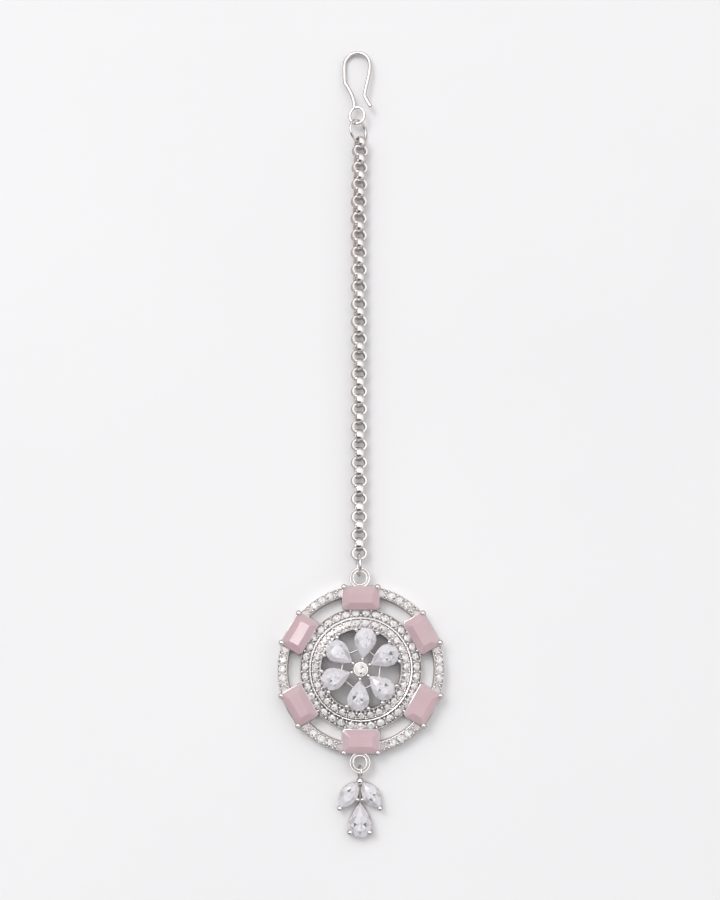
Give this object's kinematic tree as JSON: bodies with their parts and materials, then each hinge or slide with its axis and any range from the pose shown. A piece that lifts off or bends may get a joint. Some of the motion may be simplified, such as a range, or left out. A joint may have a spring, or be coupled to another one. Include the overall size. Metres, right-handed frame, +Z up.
{
  "type": "maang tikka",
  "caption": "Hair jewel: a round openwork pendant with set stones and a pear drop, on a fine link chain with a wire hair hook.",
  "frame": {"origin": "middle of the bottom of the whole piece's box, on the surface it lies on", "axes": "+Y along the chain towards the hair hook, +Z up out of the pendant's face, +X towards the pendant's right side as seen from above"},
  "size_m": [0.0276, 0.136, 0.0043],
  "materials": {
    "metal": "polished rhodium plate on brass",
    "pink_stone": "milky pink glass, step cut and polished",
    "clear_stone": "clear cubic zirconia, facetted and polished"
  },
  "bodies": {
    "root": {"hook": "metal", "hook_ring": "metal", "chain": "metal", "end_link": "metal", "pendant_frame": "metal", "pink_stone_1": "pink_stone", "pink_stone_2": "pink_stone", "pink_stone_3": "pink_stone", "pink_stone_4": "pink_stone", "pink_stone_5": "pink_stone", "pink_stone_6": "pink_stone", "petal_stone_1": "clear_stone", "petal_stone_2": "clear_stone", "petal_stone_3": "clear_stone", "petal_stone_4": "clear_stone", "petal_stone_5": "clear_stone", "petal_stone_6": "clear_stone", "centre_stone": "clear_stone", "drop_setting": "metal", "leaf_stone_left": "clear_stone", "leaf_stone_right": "clear_stone", "drop_stone": "clear_stone"}
  },
  "joints": []
}
